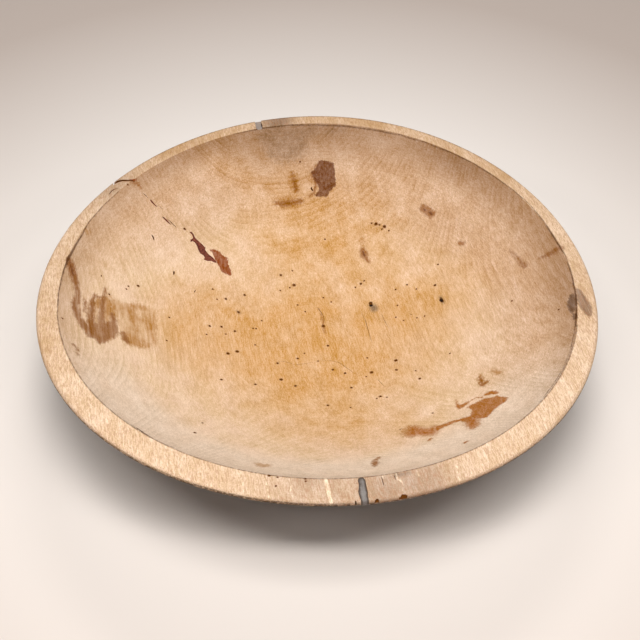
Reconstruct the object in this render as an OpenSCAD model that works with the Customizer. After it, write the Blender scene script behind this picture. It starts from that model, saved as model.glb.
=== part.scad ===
// Old turned dough bowl: one block of hardwood with later filler and two iron nail stubs.
// Millimetres. Z is up, the origin is the centre of the foot, and -Y is the side with the filled near check.

/* [Bowl] */
// Diameter of the mouth, at the rim's inner edge
mouth_d = 444; // [380:1:520]
// Width of the rim from its inner edge to its outermost point
rim_w = 17.5; // [13:0.5:26]
// Depth of the hollow below the rim's inner edge
hollow_depth = 86; // [70:1:110]
// Wood under the deepest point of the hollow
base_t = 22; // [16:1:32]
// Diameter of the flat foot
foot_d = 190; // [140:1:230]
// How far the outside swells past a straight line from foot to rim
wall_swell = 6; // [0:0.5:12]

/* [Rim] */
// Fall of the rim's top between its inner edge and its rounded corner
rim_fall = 1; // [0:0.1:2.5]
// Radius of the rim's rounded outer corner
rim_round = 4; // [2:0.5:6]
// Height of the plain band below the rounded corner
rim_band = 2; // [1:0.5:6]
// Rise and fall of the rim about its mean height, from the wood drying
rim_warp = 5.4; // [0:0.1:8]
// Direction in which the rim stands highest
warp_angle = 83; // [0:1:180]

/* [Near check] */
// Direction of the filled check in the near rim
near_angle = -81.2; // [-120:0.1:-60]
// Width of the near check
near_w = 5.5; // [3:0.1:10]
// Depth of the near check below the rim's inner edge
near_depth = 14; // [8:0.5:20]
// Wood left between the near check and the rim's inner edge
near_lip = 1; // [0.5:0.1:3]

/* [Far check] */
// Direction of the filled check in the far rim
far_angle = 106; // [90:0.1:125]
// Width of the far check
far_w = 6; // [3:0.1:10]
// Depth of the far check below the rim's inner edge
far_depth = 10; // [6:0.5:16]
// How far the putty lies below the rim's inner edge in the far check
far_sink = 3; // [0.5:0.1:5]

/* [Split] */
// Direction of the split in the far left wall
split_angle = 140; // [120:0.5:160]
// Depth of the filler below the surface of the hollow
split_depth = 3; // [1.5:0.1:5]
// Direction in which the open end of the split meets the rim's inner edge
gap_angle = 142.8; // [135:0.1:160]
// Slant of the open end across the rim
gap_slant = 44; // [0:1:60]
// Width of the open end at the outside of the rim
gap_w = 3; // [1:0.1:6]
// Depth of the open end below the rim's inner edge
gap_depth = 8; // [4:0.5:14]
// Distance round the bowl from the split's direction to both slivers of filler
sliver_side = 8.2; // [0:0.1:12]
// Width of both slivers
sliver_w = 2.3; // [1:0.1:4]
// Distance down the wall from the rim's inner edge to the middle of the upper sliver
upper_down = 30; // [24:1:34]
// Length of the upper sliver
upper_l = 12; // [6:0.5:16]
// Distance down the wall from the rim's inner edge to the middle of the lower sliver
lower_down = 53; // [46:1:58]
// Length of the lower sliver
lower_l = 18.5; // [10:0.5:24]
// Distance down the wall from the rim's inner edge to the middle of the main stretch of filler
main_down = 92; // [84:1:110]
// Length of the main stretch
main_l = 39; // [24:0.5:44]
// Width of the main stretch
main_w = 10; // [5:0.5:14]

/* [Nails] */
// Place of the first nail stub, measured from the bowl's axis
first_nail = [50, 49]; // [20:1:100]
// Place of the second nail stub, measured from the bowl's axis
second_nail = [114, 42]; // [20:1:120]
// Diameter of the iron nail stubs
nail_d = 3.2; // [2:0.1:6]
// Length of the nail stubs left in the wood
nail_l = 12; // [6:0.5:16]

/* [Hidden] */

// Steps round the bowl and along each stretch of its section
turn_steps = 72;
wall_steps = 10;
corner_steps = 4;
hollow_steps = 12;
// How far a cutting shape reaches past the surface that it cuts
reach = 12;

mouth_r = mouth_d / 2;
foot_r = foot_d / 2;
rim_r = mouth_r + rim_w;
rim_z = base_t + hollow_depth;
corner_z = rim_z - rim_fall - rim_round;
band_z = corner_z - rim_band;
hollow_r = (pow(mouth_r, 2) + pow(hollow_depth, 2)) / (2 * hollow_depth);
hollow_z = base_t + hollow_r;
edge_polar = asin(mouth_r / hollow_r);

// Turn of each sliver on the wall
upper_turn = 9.5;
lower_turn = 17;

// Outline of a sliver, pointed at both ends, as shares of its length and width
sliver_shape = [[-0.5, 0], [0, -0.5], [0.5, 0], [0, 0.5]];
// Outline of the main stretch as shares of its length and width: x runs up the wall, y round the bowl
main_shape = [[0.51, -0.3], [0.2, -0.35], [-0.03, -0.45], [-0.49, -0.25], [-0.49, 0.05],
              [-0.28, 0.5], [-0.05, 0.45], [0.15, 0.1], [0.28, 0.35], [0.33, 0]];

// Height that the warp adds at a distance r from the axis, in direction a
function warp(r, a) =
    rim_warp * pow(max(0, r - foot_r) / (mouth_r - foot_r), 2) * cos(2 * (a - warp_angle));

// Height of the rim's inner edge in direction a
function edge_z(a) = rim_z + warp(mouth_r, a);

// Height of the hollow's surface at a distance r from the axis
function floor_z(r) = hollow_z - sqrt(pow(hollow_r, 2) - pow(r, 2));

// Section of the outside, from the foot's edge to the band under the rim
function wall_section() =
    let (
        run = rim_r - foot_r,
        span = norm([run, band_z]),
        out = [band_z, -run] / span
    )
    [for (i = [0 : wall_steps])
        let (t = i / wall_steps)
        [foot_r, 0] + t * [run, band_z] + out * wall_swell * 4 * t * (1 - t)];

// Section of the rim's rounded corner, from the band to the top
function corner_section() =
    [for (i = [0 : corner_steps])
        let (a = 90 * i / corner_steps)
        [rim_r - rim_round * (1 - cos(a)), corner_z + rim_round * sin(a)]];

// Section of the hollow, from the rim's inner edge to the ring next to the axis
function hollow_section() =
    [for (i = [0 : hollow_steps - 1])
        let (polar = edge_polar * (1 - i / hollow_steps), r = hollow_r * sin(polar))
        [r, floor_z(r)]];

section = concat(wall_section(), corner_section(), hollow_section());
rings = len(section);
foot_pole = rings * turn_steps;
hollow_pole = foot_pole + 1;

// The turned block before anything was cut into it or put into it
module blank() {
    points = [
        for (p = section)
            for (i = [0 : turn_steps - 1])
                let (a = 360 * i / turn_steps)
                [p[0] * cos(a), p[0] * sin(a), p[1] + warp(p[0], a)],
        [0, 0, 0],
        [0, 0, base_t]
    ];
    skin = [
        for (k = [0 : rings - 2])
            for (i = [0 : turn_steps - 1])
                let (
                    j = (i + 1) % turn_steps,
                    low = k * turn_steps,
                    high = low + turn_steps
                )
                each [[low + i, high + i, high + j], [low + i, high + j, low + j]]
    ];
    last = (rings - 1) * turn_steps;
    caps = [
        for (i = [0 : turn_steps - 1])
            let (j = (i + 1) % turn_steps)
            each [[foot_pole, i, j], [hollow_pole, last + j, last + i]]
    ];
    polyhedron(points = points, faces = concat(skin, caps), convexity = 4);
}

// Straight slot across the rim, from a distance start out to past the rim, between two depths
module rim_slot(angle, start, width, depth, top) {
    rotate([0, 0, angle])
        translate([start, -width / 2, edge_z(angle) - depth])
            cube([rim_r + reach - start, width, depth + top]);
}

module near_check() {
    rim_slot(near_angle, mouth_r + near_lip, near_w, near_depth, reach);
}

module far_check(top) {
    rim_slot(far_angle, mouth_r - rim_w, far_w, far_depth, top);
}

// Open end of the split: a wedge that crosses the rim on a slant and dies out on the wall
module open_split() {
    rotate([0, 0, gap_angle])
        translate([mouth_r, 0, edge_z(gap_angle) - gap_depth])
            rotate([0, 0, gap_slant])
                linear_extrude(gap_depth + reach)
                    polygon([[-reach, 0], [2 * rim_w, -gap_w / 2], [2 * rim_w, gap_w / 2]]);
}

// Frame on the hollow's surface: x up the wall, y round the bowl, z out of the wood
module on_wall(angle, down) {
    polar = edge_polar - down / hollow_r * 180 / PI;
    rise = warp(hollow_r * sin(polar), angle);
    rotate([0, 0, angle])
        translate([0, 0, hollow_z + rise])
            rotate([0, -polar, 0])
                translate([0, 0, -hollow_r])
                    children();
}

// Pocket in the hollow's surface, with an outline given as shares of its length and width
module pocket(shape, length, width, down, side, turn) {
    on_wall(split_angle, down)
        translate([0, side, -split_depth])
            rotate([0, 0, turn])
                linear_extrude(split_depth + reach)
                    polygon([for (p = shape) [p[0] * length, p[1] * width]]);
}

module split_pockets() {
    pocket(sliver_shape, upper_l, sliver_w, upper_down, sliver_side, upper_turn);
    pocket(sliver_shape, lower_l, sliver_w, lower_down, sliver_side, lower_turn);
    pocket(main_shape, main_l, main_w, main_down, 0, 0);
}

module nail_bores() {
    for (place = [first_nail, second_nail])
        translate([place[0], place[1], floor_z(norm(place)) - nail_l])
            cylinder(d = nail_d, h = nail_l + reach, $fn = 32);
}

module bowl() {
    color("burlywood")
        difference() {
            blank();
            near_check();
            far_check(reach);
            open_split();
            split_pockets();
            nail_bores();
        }
}

module near_check_fill() {
    color("dimgray")
        intersection() {
            near_check();
            blank();
        }
}

module far_check_fill() {
    color("slategray")
        intersection() {
            far_check(-far_sink);
            blank();
        }
}

module split_fill() {
    color("brown")
        intersection() {
            split_pockets();
            blank();
        }
}

module nail_stubs() {
    color("black")
        intersection() {
            nail_bores();
            blank();
        }
}

bowl();
near_check_fill();
far_check_fill();
split_fill();
nail_stubs();
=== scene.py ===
import math

import bpy
import numpy as np
from mathutils import Matrix, Vector, noise
from mathutils.geometry import delaunay_2d_cdt, tessellate_polygon


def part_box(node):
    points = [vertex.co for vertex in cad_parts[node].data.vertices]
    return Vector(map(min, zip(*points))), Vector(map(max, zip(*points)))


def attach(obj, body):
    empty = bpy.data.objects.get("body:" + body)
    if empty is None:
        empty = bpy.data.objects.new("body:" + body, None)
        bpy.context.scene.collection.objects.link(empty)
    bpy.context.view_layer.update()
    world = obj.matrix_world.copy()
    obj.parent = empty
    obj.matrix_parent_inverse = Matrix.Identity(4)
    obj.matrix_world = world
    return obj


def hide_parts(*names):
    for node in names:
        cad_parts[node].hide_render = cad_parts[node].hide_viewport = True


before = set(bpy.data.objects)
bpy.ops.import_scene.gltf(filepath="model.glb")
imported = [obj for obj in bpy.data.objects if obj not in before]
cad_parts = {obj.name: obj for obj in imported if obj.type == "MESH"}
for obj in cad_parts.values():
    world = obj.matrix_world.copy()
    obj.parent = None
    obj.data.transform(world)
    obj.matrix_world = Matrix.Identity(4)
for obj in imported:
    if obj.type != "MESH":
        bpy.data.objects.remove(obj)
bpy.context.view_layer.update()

# Sizes of the bowl in millimetres, as in the solids
MM = 0.001
RIM_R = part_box("bowl")[1].x / MM
RIM_W = 17.5
MOUTH_R = RIM_R - RIM_W
HOLLOW_DEPTH = 86.0
BASE_T = 22.0
FOOT_R = 95.0
WALL_SWELL = 6.0
RIM_FALL = 1.0
RIM_ROUND = 4.0
RIM_WARP = 5.4
WARP_ANGLE = math.radians(83.0)
NEAR_DEPTH = 14.0
FAR_ANGLE = math.radians(106.0)
FAR_DEPTH = 10.0
FAR_SINK = 3.0
SPLIT_DEPTH = 3.0
NAIL_PLACES = [(50.0, 49.0), (114.0, 42.0)]
NAIL_R = 1.6
NAIL_L = 12.0
RIM_Z = BASE_T + HOLLOW_DEPTH
HOLLOW_R = (MOUTH_R ** 2 + HOLLOW_DEPTH ** 2) / (2 * HOLLOW_DEPTH)
# Wear that the solids leave out: the near rim is wider than the far one and its corner crisper, the band
# below the corner is higher, the mouth's edge is rounded, and old dirt fills the open end of the split
RIM_SHIFT = 3.1
RIM_OVAL = 0.9
ROUND_SWING = 1.7
RIM_BAND = 2.6
BAND_Z = RIM_Z - RIM_FALL - RIM_ROUND - RIM_BAND
EDGE_ROUND = 0.9
GAP_DEPTH = 2.5
# How far filler lies below the wood, the gap that it has shrunk to, and a cutter's reach past the wood
FILL_SINK = 0.3
FILL_GAP = 0.12
REACH = 6.0
# The edge in this direction sets how deep the near check goes
NEAR_ANGLE = math.radians(-90.0)
# The far putty is painted paler, as if its dirty edge lay this much farther off: painted light that makes up
# for the shade in its deep pocket
FAR_PUTTY_PALER = 5.5
# Nail stubs, worn round at the top: each ring by how far it lies inside the shank and above the wood
NAIL_RINGS = [(0.0, 0.2 - NAIL_L), (0.0, -1.1), (0.25, -0.75), (0.8, -0.6)]
NAIL_CROWN = 0.05
NAIL_SIDES = 20
NAIL_HOLE_SIDES = 24
# Fibres run this far from +Y, towards -X, and the rings close round a pith above the hollow
GRAIN_TURN = math.radians(12.0)
PITH_Z = 187.0

# Camera: distance and elevation are seen from the middle of the mouth
PHOTO_PX = 640
FOCAL_PX = 1161.5
CAMERA_DISTANCE = 1000.0
CAMERA_ELEVATION = math.radians(42.13)
CAMERA_PAN = math.radians(0.129)
CAMERA_TILT = math.radians(-2.124)
CAMERA_ROLL = math.radians(1.337)
SENSOR_MM = 36.0
# Shares of the distance between which a line of sight meets the bowl, and halvings that find where
SIGHT_START = 0.5
SIGHT_END = 1.5
SIGHT_STEPS = 40

# Spacing of the points in the hollow, how much finer it gets round a mark, and points round the rim
COARSE = 2.4
FINER = 3
FINE_REACH = 2.5
TURNS = 720
# Rings of points: millimetres past the mouth's edge, degrees round the rim's corner, shares of the way up
# the outside, and the foot's own by radius and height
EDGE_STEPS = [-1.6, -0.8, -0.3, 0.2, 0.8, 1.8, 3.5, 5.5, 7.5, 9.5, 11.5, 13.5]
CORNER_STEPS = [15, 30, 45, 60, 75, 90]
WALL_STEPS = np.linspace(0.98, 0.02, 33)
FOOT_RINGS = [(FOOT_R + 0.4, 0.6), (FOOT_R - 0.8, 0.0), (60.0, 0.0), (30.0, 0.0)]
# Points closer together than this count as one
SAME_POINT = 1e-6
# Faces that meet at a steeper angle than this keep a sharp edge
SHARP_ANGLE = math.radians(40.0)
# Distance where there is no mark, and the farthest distance that is stored, in millimetres
NO_MARK = 1e3
MARK_REACH = 20.0

# Marks as pixels of the photo: outlines are closed, and strokes add a half width in millimetres
# Dark varnish patch on the far wall, and the dark cores of smaller blots
VARNISH_OUTLINES = [
    [(318.7, 161.4), (320.8, 160.2), (324.5, 160.2), (329.5, 161.8), (333.6, 162.7), (334.1, 166.4),
     (334.9, 171.4), (334.9, 176.3), (336.1, 182.1), (335.3, 185.9), (332.4, 188.8), (329.5, 192.1),
     (326.6, 197.1), (321.2, 196.7), (316.2, 196.2), (314.6, 194.6), (317.9, 191.7), (318.7, 187.9),
     (317.9, 184.6), (315.4, 181.3), (312.9, 176.3), (310.8, 172.2), (312.9, 170.5), (316.2, 167.2)],
]
VARNISH_STROKES = [
    [(423.5, 208.6, 0.5), (425.4, 210.2, 1.0)],
    [(429.6, 212.0, 0.8), (432.0, 214.6, 0.9)],
    [(363.0, 251.8, 0.6), (364.4, 255.2, 1.0)],
    [(70.0, 262.0, 0.3), (72.0, 270.0, 0.9), (73.6, 276.0, 0.3)],
]
# Red-brown patch beside the split's filler, and flecks of it at the split and at the near putty
SIENNA_OUTLINES = [
    [(210.4, 249.8), (214.0, 249.3), (217.0, 249.8), (221.6, 253.4), (225.7, 257.4), (228.3, 258.0),
     (227.8, 263.1), (229.3, 267.1), (231.8, 272.8), (230.3, 275.8), (226.7, 274.3), (222.1, 272.2),
     (220.1, 269.2), (219.1, 266.1), (216.5, 262.6), (214.0, 255.9), (212.4, 252.9)],
]
SIENNA_STROKES = [
    [(128.0, 180.4, 0.6), (133.0, 180.6, 1.3), (136.5, 180.2, 0.8)],
    [(355.4, 480.0, 0.3), (355.7, 482.4, 0.8), (356.4, 485.2, 0.4)],
    [(356.9, 488.0, 0.3), (357.6, 490.6, 0.7), (358.8, 493.0, 0.3)],
    [(209.4, 262.0, 0.3), (211.4, 264.1, 0.5), (213.0, 263.6, 0.3)],
]
# Rust-brown splash on the near wall to the right, and its softer ends
RUST_OUTLINES = [
    [(467.2, 407.1), (470.6, 405.1), (478.3, 401.3), (484.4, 398.3), (493.6, 397.1), (496.6, 395.0),
     (501.2, 396.6), (506.6, 396.6), (507.7, 397.9), (505.8, 401.3), (499.7, 405.5), (495.1, 409.0),
     (490.5, 413.6), (486.7, 417.4), (480.6, 418.5), (476.0, 418.0), (469.1, 417.8), (470.2, 414.3),
     (472.1, 411.3), (470.6, 409.0)],
    [(435.0, 426.5), (440.0, 425.2), (446.0, 423.0), (449.0, 421.8), (453.0, 420.8), (460.0, 419.0),
     (466.0, 417.6), (471.0, 416.0), (472.0, 419.0), (465.0, 420.2), (460.0, 421.2), (453.0, 422.9),
     (450.0, 425.2), (446.0, 426.2), (441.0, 428.6), (437.0, 431.0)],
    [(455.4, 399.5), (456.6, 400.0), (457.6, 403.6), (460.5, 404.8), (464.5, 403.6), (468.5, 400.8),
     (469.3, 402.2), (466.0, 405.4), (462.0, 408.2), (459.0, 409.0), (456.4, 407.2), (455.4, 404.0)],
    [(484.0, 395.6), (487.0, 392.6), (492.0, 390.6), (497.0, 391.0), (499.4, 392.4), (496.5, 394.2),
     (491.0, 394.0), (487.0, 395.4)],
    [(426.8, 440.6), (428.5, 439.0), (431.5, 437.6), (432.6, 438.2), (430.5, 440.2), (428.0, 441.2)],
    [(462.4, 443.4), (464.5, 441.6), (467.5, 440.4), (469.2, 440.6), (467.0, 442.2), (464.5, 443.6)],
]
RUST_STROKES = [
    [(468.0, 402.3, 0.6), (476.0, 397.6, 0.7), (481.3, 397.2, 0.7)],
]
TAWNY_OUTLINES = [
    [(409.0, 427.5), (415.4, 425.6), (419.0, 426.9), (422.6, 428.0), (430.7, 427.7), (434.8, 425.9),
     (437.3, 429.0), (437.9, 432.6), (434.3, 435.1), (426.6, 435.6), (420.5, 435.9), (415.4, 435.6),
     (412.3, 437.1), (407.0, 434.5)],
    [(464.0, 419.5), (466.0, 424.0), (469.0, 427.5), (473.0, 428.5), (477.0, 426.0), (479.0, 420.5),
     (477.0, 417.5), (470.0, 417.0)],
]
# Brown streaks soaked into the left wall, two bars on the right wall, and a thin wash round the streaks
SOAK_OUTLINES = [
    [(83.9, 328.0), (88.0, 322.0), (97.1, 322.5), (105.3, 322.0), (111.4, 321.5), (117.2, 323.0),
     (118.6, 333.1), (115.5, 338.2), (110.4, 338.2), (107.3, 342.2), (100.2, 344.3), (94.1, 339.2),
     (88.0, 337.1), (85.4, 333.1)],
]
SOAK_STROKES = [
    [(69.1, 258.6, 2.0), (71.1, 266.7, 3.6), (74.2, 278.0, 3.0), (76.7, 287.1, 2.4), (78.3, 295.3, 2.6),
     (75.2, 303.5, 3.0), (76.2, 310.6, 3.0), (78.8, 317.8, 3.0), (83.9, 324.9, 4.2), (88.0, 330.0, 4.2)],
    [(95.1, 294.3, 1.2), (93.1, 301.4, 1.8), (91.5, 309.6, 2.8), (90.5, 317.0, 3.0), (90.5, 326.0, 3.0)],
    [(105.3, 288.6, 0.7), (104.5, 295.0, 1.2), (102.8, 300.4, 1.8), (101.8, 309.6, 2.2), (101.0, 319.8, 2.8),
     (101.0, 327.0, 3.2)],
    [(95.6, 296.3, 1.2), (101.2, 297.3, 1.2)],
    [(84.9, 300.0, 1.0), (84.4, 311.6, 1.3)],
    [(112.0, 314.0, 1.4), (113.5, 320.0, 2.6), (113.0, 330.0, 3.2)],
    [(72.7, 344.0, 0.9), (76.0, 347.0, 1.3), (77.6, 350.4, 0.8)],
    [(75.7, 352.4, 0.6), (78.3, 354.6, 0.9)],
    [(122.5, 333.0, 2.0), (125.0, 339.0, 2.8), (128.0, 342.0, 2.0)],
    [(510.0, 250.0, 0.6), (520.0, 261.0, 1.4), (525.0, 266.0, 2.2)],
    [(540.0, 258.0, 0.8), (548.0, 254.5, 2.2), (555.0, 250.5, 2.8), (562.0, 248.0, 2.6)],
]
WASH_OUTLINES = [
    [(90.0, 304.0), (98.0, 297.0), (106.0, 295.0), (112.0, 301.0), (117.0, 318.0), (118.0, 334.0),
     (108.0, 342.0), (96.0, 340.0), (90.0, 330.0), (88.0, 316.0)],
    [(110.0, 295.5), (118.0, 299.5), (128.0, 304.0), (138.0, 303.0), (148.0, 307.0), (157.0, 312.0),
     (158.0, 326.0), (155.0, 337.0), (157.5, 342.0), (150.0, 347.0), (142.0, 348.0), (133.0, 346.0),
     (126.0, 344.0), (121.0, 338.0), (119.5, 327.0), (116.5, 316.0), (111.5, 306.0)],
]
# Amber tints under and beside darker marks, and brown blots
AMBER_OUTLINES = [
    [(464.0, 418.0), (478.0, 417.5), (479.5, 423.0), (476.0, 428.0), (470.0, 429.0), (465.0, 425.0)],
    [(291.0, 172.0), (296.0, 172.0), (298.5, 180.0), (299.0, 190.0), (296.0, 193.0), (291.0, 190.0),
     (288.5, 184.0), (289.0, 176.0)],
    [(272.0, 199.5), (284.0, 197.0), (290.0, 195.5), (296.0, 198.0), (304.0, 199.0), (303.0, 204.0),
     (295.0, 208.0), (284.0, 208.5), (275.0, 206.0)],
    [(400.0, 434.0), (403.0, 430.0), (407.0, 426.5), (413.0, 426.0), (416.0, 430.0), (416.0, 436.0),
     (410.0, 437.5), (404.0, 436.5)],
    [(254.0, 463.5), (258.0, 462.5), (264.0, 464.0), (271.0, 464.5), (268.0, 467.0), (261.0, 467.5),
     (256.0, 466.0)],
]
AMBER_STROKES = [
    [(308.0, 178.5, 1.6), (311.5, 181.5, 1.8)],
    [(361.8, 238.0, 1.4), (362.5, 246.5, 1.8)],
    [(480.0, 375.0, 1.6), (480.9, 381.0, 2.0), (482.5, 385.0, 1.6), (486.5, 381.5, 1.2)],
    [(494.0, 370.5, 2.6), (497.5, 373.0, 2.6)],
    [(463.0, 421.0, 1.6), (470.0, 422.5, 4.2), (474.0, 424.5, 4.0)],
    [(137.0, 184.5, 1.6), (140.5, 187.5, 1.4)],
    [(86.5, 231.0, 1.2), (87.8, 233.0, 1.2)],
]
BLOT_OUTLINES = [
    [(371.0, 463.5), (373.0, 460.5), (376.5, 458.0), (379.5, 456.5), (380.0, 458.0), (378.0, 461.0),
     (380.0, 463.0), (377.0, 464.5), (375.0, 467.0), (372.5, 466.0)],
]
BLOT_STROKES = [
    [(423.0, 208.0, 3.2), (427.0, 210.5, 3.6), (432.0, 214.5, 3.2)],
    [(362.6, 250.5, 2.6), (364.2, 255.0, 3.6), (369.1, 262.6, 0.6)],
    [(460.0, 242.5, 2.0), (462.5, 243.5, 2.0)],
    [(480.0, 377.0, 1.0), (481.0, 381.5, 1.6), (482.5, 385.5, 1.8), (487.0, 381.0, 1.0)],
    [(276.0, 203.0, 1.2), (283.0, 203.8, 2.6), (292.0, 202.8, 2.2), (301.0, 201.0, 1.8)],
    [(292.5, 173.0, 0.8), (294.5, 182.0, 1.8), (296.0, 190.0, 2.0)],
    [(319.0, 309.0, 0.2), (321.5, 315.0, 0.5), (323.0, 322.0, 0.6), (323.6, 329.0, 0.8), (325.0, 333.0, 0.2)],
    [(69.5, 260.0, 2.0), (71.5, 268.0, 3.2), (74.5, 279.0, 1.6), (77.0, 288.0, 0.4)],
    [(316.0, 166.5, 1.0), (312.0, 174.0, 1.4), (316.0, 184.0, 1.2), (314.0, 193.0, 1.2), (309.0, 196.0, 0.6)],
    [(117.0, 182.0, 0.6), (124.0, 180.8, 0.9), (132.0, 181.4, 1.1), (138.0, 184.5, 1.4), (141.0, 187.5, 0.8)],
]
# Damp spots at the right of the mouth, a grey mark on the rim there, and grey-brown wood by the far check
DAMP_OUTLINES = [
    [(573.0, 292.0), (576.0, 296.0), (576.5, 306.0), (575.0, 311.0), (571.0, 313.5), (568.0, 310.0),
     (567.2, 303.0), (569.0, 296.0)],
    [(572.0, 313.5), (577.0, 313.0), (577.8, 317.0), (575.0, 320.6), (572.5, 318.0)],
]
GREY_OUTLINES = [
    [(575.0, 287.4), (579.4, 289.3), (584.5, 295.0), (589.6, 302.1), (592.2, 308.4), (592.8, 314.8),
     (589.6, 317.4), (585.8, 313.5), (580.7, 307.8), (578.2, 304.0), (576.2, 298.9)],
]
MOON_OUTLINES = [
    [(253.0, 128.0), (258.0, 137.0), (264.0, 147.0), (268.0, 157.0), (275.6, 160.6), (284.7, 161.8),
     (294.7, 159.8), (304.0, 155.0), (308.0, 146.0), (306.0, 138.0), (318.0, 132.0), (322.0, 126.0),
     (290.0, 125.5), (288.0, 117.0), (262.0, 120.0), (262.0, 127.0)],
    [(326.0, 132.0), (334.0, 134.0), (342.0, 131.0), (346.0, 127.5), (336.0, 126.0), (328.0, 128.0)],
]
# Dark lines along the mouth's edge, at the nails and at the chip beside the split
EDGE_STROKES = [
    [(120.5, 189.5, 0.2), (103.9, 204.8, 0.3), (89.1, 221.4, 0.4), (75.7, 245.3, 0.6), (71.5, 253.0, 0.8),
     (68.0, 258.7, 1.2), (67.0, 262.5, 0.8), (64.5, 268.0, 0.6), (62.0, 277.0, 0.5), (58.4, 293.4, 0.4),
     (57.4, 312.5, 0.3)],
    [(233.2, 134.0, 0.2), (255.0, 129.6, 0.4), (266.0, 127.6, 0.5), (288.1, 124.9, 0.5), (316.5, 124.8, 0.4),
     (344.7, 126.0, 0.4), (372.4, 129.5, 0.4), (399.5, 134.7, 0.4), (425.3, 142.3, 0.4), (449.6, 151.9, 0.4),
     (472.8, 162.7, 0.4), (493.4, 175.6, 0.4), (512.5, 189.4, 0.4), (529.7, 204.5, 0.4), (543.7, 221.1, 0.5),
     (554.0, 237.0, 0.8), (558.0, 243.5, 0.7), (565.6, 256.0, 0.5), (571.9, 274.7, 0.6), (575.0, 290.6, 0.6),
     (576.2, 298.9, 0.8), (576.4, 308.4, 0.7), (576.0, 320.0, 0.7), (574.6, 331.6, 0.4), (570.5, 350.4, 0.3),
     (563.1, 368.8, 0.3), (552.0, 386.2, 0.3), (539.0, 402.8, 0.2)],
    [(116.6, 413.4, 0.2), (134.8, 426.4, 0.4), (143.3, 432.6, 0.9), (151.8, 438.0, 0.7), (156.0, 440.2, 0.3),
     (175.1, 448.2, 0.2)],
    [(370.6, 302.8, 1.3), (370.9, 304.2, 1.3)],
    [(440.4, 297.4, 0.7), (441.4, 299.6, 1.2), (442.6, 301.6, 0.7)],
    [(109.6, 194.2, 0.2), (111.4, 191.2, 0.6), (114.0, 189.4, 0.6), (117.6, 188.4, 0.2)],
]
# Pale rays across the near rim, and the blue-grey halos that iron leaves in wood, with smudges like them
CREAM_STROKES = [
    [(325.2, 478.6, 1.4), (327.5, 487.0, 1.6), (329.4, 495.0, 1.5), (331.0, 502.0, 1.3)],
    [(395.5, 473.0, 0.5), (397.8, 480.2, 0.6)],
    [(401.6, 480.0, 0.5), (403.0, 491.0, 0.5)],
    [(392.4, 488.7, 0.5), (394.2, 496.0, 0.6)],
    [(381.6, 474.6, 0.5), (383.2, 478.6, 0.5)],
    [(417.4, 470.0, 0.5), (419.0, 476.0, 0.5)],
    [(456.5, 463.0, 0.7), (457.8, 472.5, 0.7), (459.6, 481.0, 0.5)],
    [(265.0, 479.0, 0.6), (267.0, 488.0, 0.8), (268.4, 498.0, 0.6)],
    [(241.4, 473.0, 0.7), (242.4, 485.0, 0.8), (243.0, 492.0, 0.5)],
    [(289.6, 479.0, 0.5), (292.0, 497.0, 0.6)],
]
HALO_STROKES = [
    [(371.4, 305.0, 1.6), (373.4, 307.4, 3.4), (374.2, 309.2, 3.0)],
    [(440.2, 296.8, 0.4), (443.2, 302.6, 0.6)],
    [(238.0, 311.4, 0.6), (239.0, 312.6, 0.6)],
    [(394.0, 475.8, 0.2), (402.0, 474.2, 0.8), (410.0, 472.6, 0.2)],
]
# Worm holes by the radius of their mouth in millimetres
WORM_HOLES = {
    1.8: [(323.3, 326.1), (237.2, 351.4), (228.0, 353.5), (281.2, 379.5), (395.9, 360.4), (371.4, 372.4),
          (294.0, 285.1), (376.0, 224.0), (384.4, 226.6), (370.7, 303.2), (442.0, 301.0)],
    1.35: [(138.3, 285.9), (225.9, 298.9), (244.7, 295.1), (209.7, 325.9), (221.4, 326.7), (234.9, 331.2),
           (277.6, 363.2), (297.7, 358.4), (295.5, 385.9), (255.4, 384.3), (280.9, 275.2), (327.9, 345.7),
           (332.9, 369.8), (351.4, 387.7), (396.4, 369.8), (419.7, 378.6), (435.0, 285.1), (184.7, 229.0),
           (360.8, 283.8), (345.2, 373.2), (221.4, 379.5), (194.9, 432.7), (327.8, 405.3), (238.6, 312.2),
           (269.0, 475.4), (380.4, 396.3)],
    0.9: [(292.3, 270.6), (289.9, 287.7), (280.3, 290.4), (212.7, 289.2), (217.1, 299.2), (206.6, 334.3),
          (253.0, 328.3), (256.0, 328.6), (323.3, 297.7), (331.2, 301.9), (305.1, 311.6), (355.4, 287.4),
          (364.1, 280.8), (416.3, 289.0), (395.5, 289.5), (366.3, 376.5), (449.8, 353.3), (416.9, 317.8),
          (403.6, 320.4), (128.4, 286.1), (166.8, 340.5), (325.0, 239.2), (318.0, 361.1), (432.6, 413.0),
          (350.6, 407.3), (300.0, 161.8), (127.8, 184.6), (109.4, 294.3), (304.5, 353.3), (395.9, 317.2),
          (379.6, 224.8), (388.9, 230.6), (371.6, 223.3), (382.1, 229.2), (225.9, 334.1), (297.7, 305.0),
          (261.7, 320.6), (255.1, 344.8), (438.0, 264.4), (415.6, 370.8), (407.1, 284.7), (367.1, 357.8),
          (126.4, 289.0), (169.4, 317.4), (62.4, 318.3), (202.6, 423.0), (558.8, 309.5), (512.0, 300.9),
          (424.5, 316.0), (397.4, 305.3), (376.6, 398.4), (386.8, 397.2), (277.5, 477.3), (275.8, 486.0),
          (305.4, 478.6), (305.8, 481.2)],
}
# Old dirt fills the holes nearly to the top, and their cutters stand out above the wood
HOLE_DEPTH = 1.1
HOLE_REACH = 3.0
HOLE_SHAPE = {"Sides": 12, "Taper": 0.7, "Lean": 0.12, "Seed": 5}
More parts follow.
